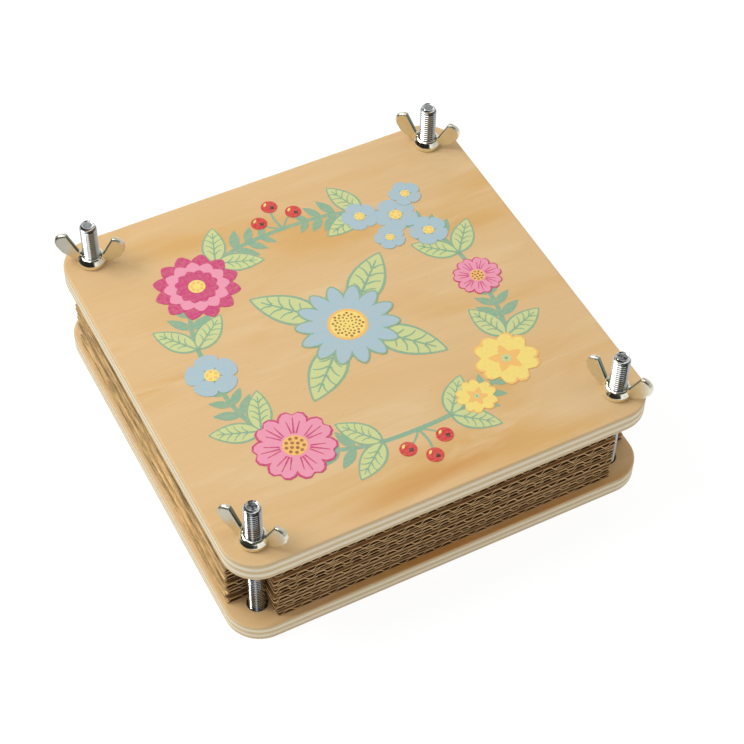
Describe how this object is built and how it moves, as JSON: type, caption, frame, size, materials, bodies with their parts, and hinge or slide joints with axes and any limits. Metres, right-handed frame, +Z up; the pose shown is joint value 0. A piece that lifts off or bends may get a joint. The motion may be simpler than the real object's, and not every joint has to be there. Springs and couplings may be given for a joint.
{
  "type": "flower press",
  "caption": "Square plywood flower press: rounded boards drawn together by corner screws and wing nuts over a stack of corrugated cards and blotting sheets.",
  "frame": {"origin": "middle of the press's underside, on the surface it rests on", "axes": "+Z up out of the top board; +X along the front edge to the right; +Y to the back; the cards' flutes run along Y and open at the front and back"},
  "size_m": [0.1555, 0.1557, 0.0602],
  "materials": {
    "plywood": "sanded birch-faced plywood with a thin clear matt coat",
    "corrugated_card": "plain brown kraft corrugated board, cut edges",
    "blotting_paper": "soft unglazed off-white paper",
    "zinc_screw": "bright zinc-plated steel, rolled thread",
    "printed_ink": "thin matt screen-printed inks on the top board, the wood's grain showing through",
    "zinc_nut": "bright zinc-plated forged steel"
  },
  "bodies": {
    "base": {"bottom_board": "plywood", "screw_front_left": "zinc_screw", "screw_front_right": "zinc_screw", "screw_back_left": "zinc_screw", "screw_back_right": "zinc_screw"},
    "card_layer_1": {"card_1": "corrugated_card", "blotting_sheet_1": "blotting_paper"},
    "card_layer_2": {"card_2": "corrugated_card", "blotting_sheet_2": "blotting_paper"},
    "card_layer_3": {"card_3": "corrugated_card", "blotting_sheet_3": "blotting_paper"},
    "card_layer_4": {"card_4": "corrugated_card", "blotting_sheet_4": "blotting_paper"},
    "card_layer_5": {"card_5": "corrugated_card", "blotting_sheet_5": "blotting_paper"},
    "card_layer_6": {"card_6": "corrugated_card", "blotting_sheet_6": "blotting_paper"},
    "card_layer_7": {"card_7": "corrugated_card", "blotting_sheet_7": "blotting_paper"},
    "card_layer_8": {"card_8": "corrugated_card", "blotting_sheet_8": "blotting_paper"},
    "card_layer_9": {"card_9": "corrugated_card", "blotting_sheet_9": "blotting_paper"},
    "card_layer_10": {"card_10": "corrugated_card", "blotting_sheet_10": "blotting_paper"},
    "card_layer_11": {"card_11": "corrugated_card", "blotting_sheet_11": "blotting_paper"},
    "card_layer_12": {"card_12": "corrugated_card"},
    "lid": {"top_board": "plywood"},
    "nut_front_left": {"wing_nut_front_left": "zinc_nut"},
    "nut_front_right": {"wing_nut_front_right": "zinc_nut"},
    "nut_back_left": {"wing_nut_back_left": "zinc_nut"},
    "nut_back_right": {"wing_nut_back_right": "zinc_nut"}
  },
  "joints": [
    {"name": "lid_lift", "type": "slide", "parent": "base", "child": "lid", "axis": [0, 0, 1], "range_m": [0, 0.013]},
    {"name": "card_layer_1_lift", "type": "slide", "parent": "base", "child": "card_layer_1", "axis": [0, 0, 1], "range_m": [0, 0.001]},
    {"name": "card_layer_2_lift", "type": "slide", "parent": "base", "child": "card_layer_2", "axis": [0, 0, 1], "range_m": [0, 0.002]},
    {"name": "card_layer_3_lift", "type": "slide", "parent": "base", "child": "card_layer_3", "axis": [0, 0, 1], "range_m": [0, 0.003]},
    {"name": "card_layer_4_lift", "type": "slide", "parent": "base", "child": "card_layer_4", "axis": [0, 0, 1], "range_m": [0, 0.004]},
    {"name": "card_layer_5_lift", "type": "slide", "parent": "base", "child": "card_layer_5", "axis": [0, 0, 1], "range_m": [0, 0.005]},
    {"name": "card_layer_6_lift", "type": "slide", "parent": "base", "child": "card_layer_6", "axis": [0, 0, 1], "range_m": [0, 0.006]},
    {"name": "card_layer_7_lift", "type": "slide", "parent": "base", "child": "card_layer_7", "axis": [0, 0, 1], "range_m": [0, 0.007]},
    {"name": "card_layer_8_lift", "type": "slide", "parent": "base", "child": "card_layer_8", "axis": [0, 0, 1], "range_m": [0, 0.008]},
    {"name": "card_layer_9_lift", "type": "slide", "parent": "base", "child": "card_layer_9", "axis": [0, 0, 1], "range_m": [0, 0.009]},
    {"name": "card_layer_10_lift", "type": "slide", "parent": "base", "child": "card_layer_10", "axis": [0, 0, 1], "range_m": [0, 0.01]},
    {"name": "card_layer_11_lift", "type": "slide", "parent": "base", "child": "card_layer_11", "axis": [0, 0, 1], "range_m": [0, 0.011]},
    {"name": "card_layer_12_lift", "type": "slide", "parent": "base", "child": "card_layer_12", "axis": [0, 0, 1], "range_m": [0, 0.012]},
    {"name": "nut_front_left_turn", "type": "hinge", "parent": "lid", "child": "nut_front_left", "pos_m": [-0.0668, -0.0668, 0.04202], "axis": [0, 0, 1], "range_deg": [0, 4680]},
    {"name": "nut_front_right_turn", "type": "hinge", "parent": "lid", "child": "nut_front_right", "pos_m": [0.0668, -0.0668, 0.04202], "axis": [0, 0, 1], "range_deg": [0, 4680]},
    {"name": "nut_back_left_turn", "type": "hinge", "parent": "lid", "child": "nut_back_left", "pos_m": [-0.0668, 0.0668, 0.04202], "axis": [0, 0, 1], "range_deg": [0, 4680]},
    {"name": "nut_back_right_turn", "type": "hinge", "parent": "lid", "child": "nut_back_right", "pos_m": [0.0668, 0.0668, 0.04202], "axis": [0, 0, 1], "range_deg": [0, 4680]}
  ],
  "couplings": [
    {"joint": "card_layer_1_lift", "follows": "lid_lift", "ratio": 0.076923},
    {"joint": "card_layer_2_lift", "follows": "lid_lift", "ratio": 0.15385},
    {"joint": "card_layer_3_lift", "follows": "lid_lift", "ratio": 0.23077},
    {"joint": "card_layer_4_lift", "follows": "lid_lift", "ratio": 0.30769},
    {"joint": "card_layer_5_lift", "follows": "lid_lift", "ratio": 0.38461},
    {"joint": "card_layer_6_lift", "follows": "lid_lift", "ratio": 0.46154},
    {"joint": "card_layer_7_lift", "follows": "lid_lift", "ratio": 0.53846},
    {"joint": "card_layer_8_lift", "follows": "lid_lift", "ratio": 0.61538},
    {"joint": "card_layer_9_lift", "follows": "lid_lift", "ratio": 0.69231},
    {"joint": "card_layer_10_lift", "follows": "lid_lift", "ratio": 0.76923},
    {"joint": "card_layer_11_lift", "follows": "lid_lift", "ratio": 0.84615},
    {"joint": "card_layer_12_lift", "follows": "lid_lift", "ratio": 0.92308},
    {"joint": "nut_front_left_turn", "follows": "lid_lift", "rad_per_m": 6283.2},
    {"joint": "nut_front_right_turn", "follows": "lid_lift", "rad_per_m": 6283.2},
    {"joint": "nut_back_left_turn", "follows": "lid_lift", "rad_per_m": 6283.2},
    {"joint": "nut_back_right_turn", "follows": "lid_lift", "rad_per_m": 6283.2}
  ]
}
